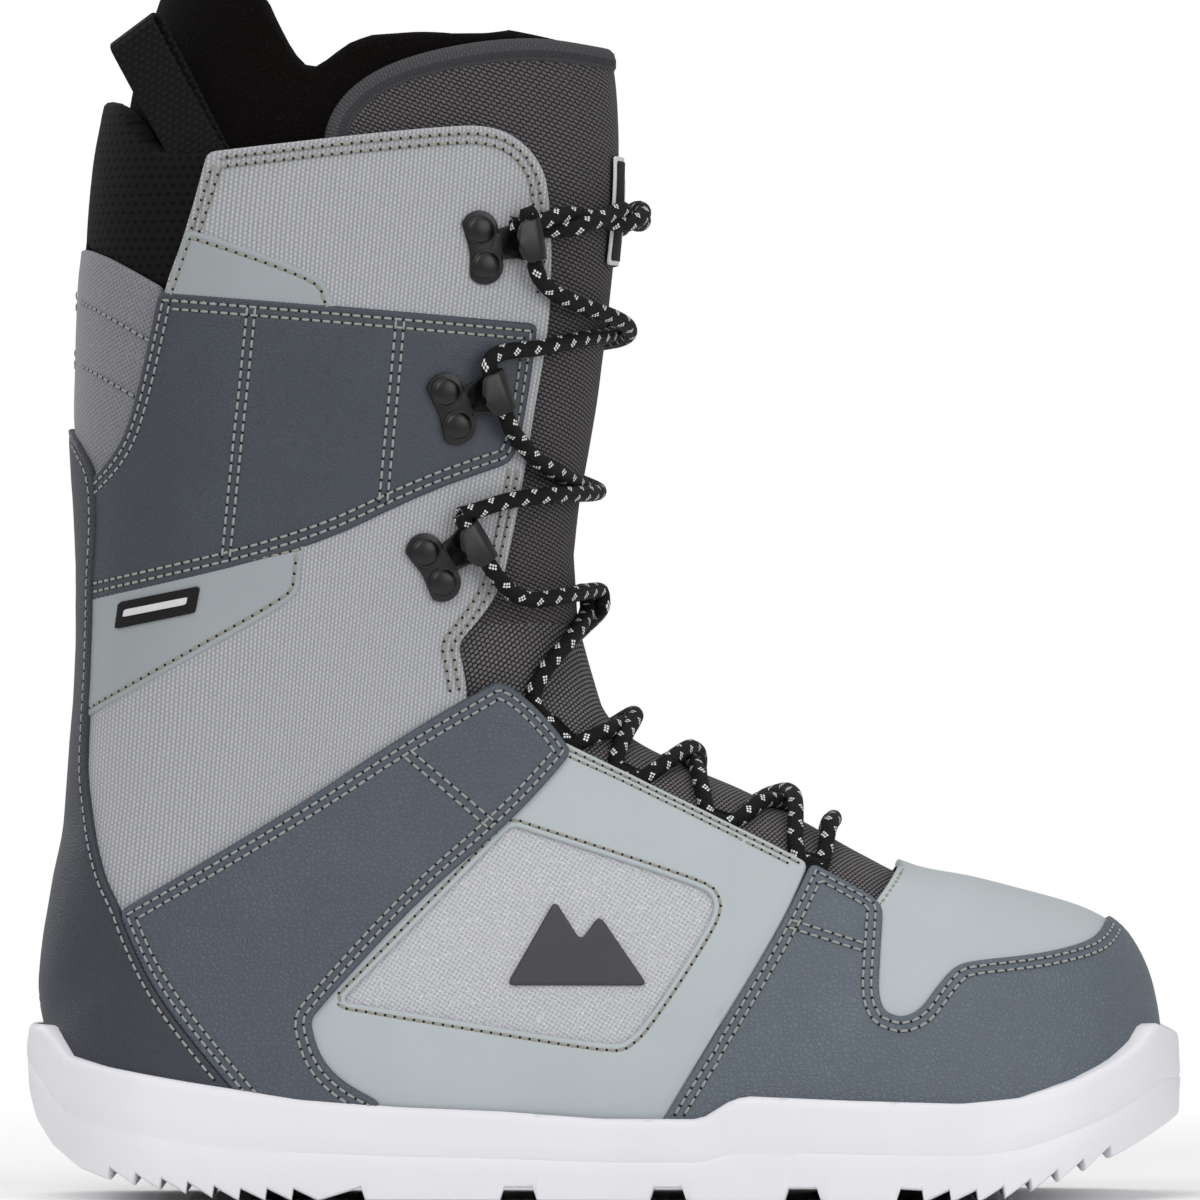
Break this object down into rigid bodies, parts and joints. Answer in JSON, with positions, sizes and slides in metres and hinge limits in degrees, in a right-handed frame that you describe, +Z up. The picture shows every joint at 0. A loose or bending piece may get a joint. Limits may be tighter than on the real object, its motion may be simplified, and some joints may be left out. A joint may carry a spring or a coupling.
{
  "type": "snowboard boot",
  "caption": "Lace-up snowboard boot, right foot: tall padded cuff over a removable liner, leather shell, crossed lace through hooks and loops, cupped tread sole.",
  "frame": {"origin": "on the ground plane under the middle of the sole's length, on the foot's long axis", "axes": "+X to the toe, +Y to the inner (medial) side of the foot, +Z up the shaft"},
  "size_m": [0.3108, 0.1177, 0.3332],
  "materials": {
    "sole": "matte off-white rubber",
    "board": "matte",
    "leather": "light grey pebbled synthetic leather",
    "toe_leather": "mid grey-blue pebbled synthetic leather",
    "dark_leather": "slate grey pebbled synthetic leather",
    "canvas": "grey woven fabric with raised dashes",
    "weave": "light grey fine weave",
    "rubber_badge": "moulded dark rubber",
    "black_metal": "gloss black painted steel",
    "webbing": "black woven webbing",
    "lace_cord": "black braided cord with white flecks",
    "liner_foam": "black brushed fabric over foam",
    "tongue_knit": "dark grey ribbed knit over foam",
    "collar_mesh": "dark perforated mesh over foam"
  },
  "bodies": {
    "lower": {"ankle_strap_lateral": "dark_leather", "ankle_strap_medial": "dark_leather", "backstay": "dark_leather", "emblem_lateral": "rubber_badge", "emblem_medial": "rubber_badge", "footbed": "liner_foam", "heel_counter": "board", "lace_loop_lateral_1": "webbing", "lace_loop_lateral_2": "webbing", "lace_loop_lateral_3": "webbing", "lace_loop_lateral_4": "webbing", "lace_loop_medial_1": "webbing", "lace_loop_medial_2": "webbing", "lace_loop_medial_3": "webbing", "lace_loop_medial_4": "webbing", "lace_lower": "lace_cord", "lasting_board": "board", "liner_flex_panel": "liner_foam", "liner_foot": "liner_foam", "outsole": "sole", "quarter_lateral": "leather", "quarter_medial": "leather", "toe_cap": "toe_leather", "tongue_flex_panel": "tongue_knit", "tongue_lower": "tongue_knit", "vamp": "leather", "window_lateral": "weave", "window_medial": "weave"},
    "cuff": {"cuff_band_lateral": "dark_leather", "cuff_band_medial": "dark_leather", "cuff_lateral": "canvas", "cuff_medial": "canvas", "hook_lateral_1": "black_metal", "hook_lateral_2": "black_metal", "hook_lateral_3": "black_metal", "hook_medial_1": "black_metal", "hook_medial_2": "black_metal", "hook_medial_3": "black_metal", "hook_rivets_lateral_1": "black_metal", "hook_rivets_lateral_2": "black_metal", "hook_rivets_lateral_3": "black_metal", "hook_rivets_medial_1": "black_metal", "hook_rivets_medial_2": "black_metal", "hook_rivets_medial_3": "black_metal", "lower_patch_lateral": "leather", "lower_patch_medial": "leather", "upper_patch_lateral": "leather", "upper_patch_medial": "leather", "lace_upper": "lace_cord", "rear_flex_panel": "weave", "rear_collar": "collar_mesh", "side_label": "webbing", "liner_shaft": "liner_foam"},
    "tongue": {"tongue_upper": "tongue_knit", "tongue_binding": "webbing", "tongue_label": "webbing"},
    "liner_tongue": {"liner_tongue": "liner_foam"},
    "pull_loop": {"pull_loop": "webbing"}
  },
  "joints": [
    {"name": "cuff_flex", "type": "hinge", "parent": "lower", "child": "cuff", "pos_m": [-0.07, 0, 0.108], "axis": [0, 1, 0], "range_deg": [0, 8], "stiffness_Nm_per_rad": 20, "deforming": ["lace_lower", "lace_upper", "backstay", "tongue_flex_panel", "liner_flex_panel"]},
    {"name": "tongue_open", "type": "hinge", "parent": "cuff", "child": "tongue", "pos_m": [0.005, 0, 0.15], "axis": [0, 1, 0], "range_deg": [0, 15], "stiffness_Nm_per_rad": 0.5, "deforming": ["lace_upper"]},
    {"name": "liner_tongue_open", "type": "hinge", "parent": "cuff", "child": "liner_tongue", "pos_m": [0.005, 0, 0.15], "axis": [0, 1, 0], "range_deg": [0, 13.5], "stiffness_Nm_per_rad": 0.3},
    {"name": "pull_loop_swing", "type": "hinge", "parent": "cuff", "child": "pull_loop", "pos_m": [-0.11383, -0.03434, 0.29078], "axis": [0.8713, -0.4883, 0.0494], "range_deg": [0, 40]}
  ],
  "couplings": [
    {"joint": "liner_tongue_open", "follows": "tongue_open", "ratio": 0.9}
  ]
}
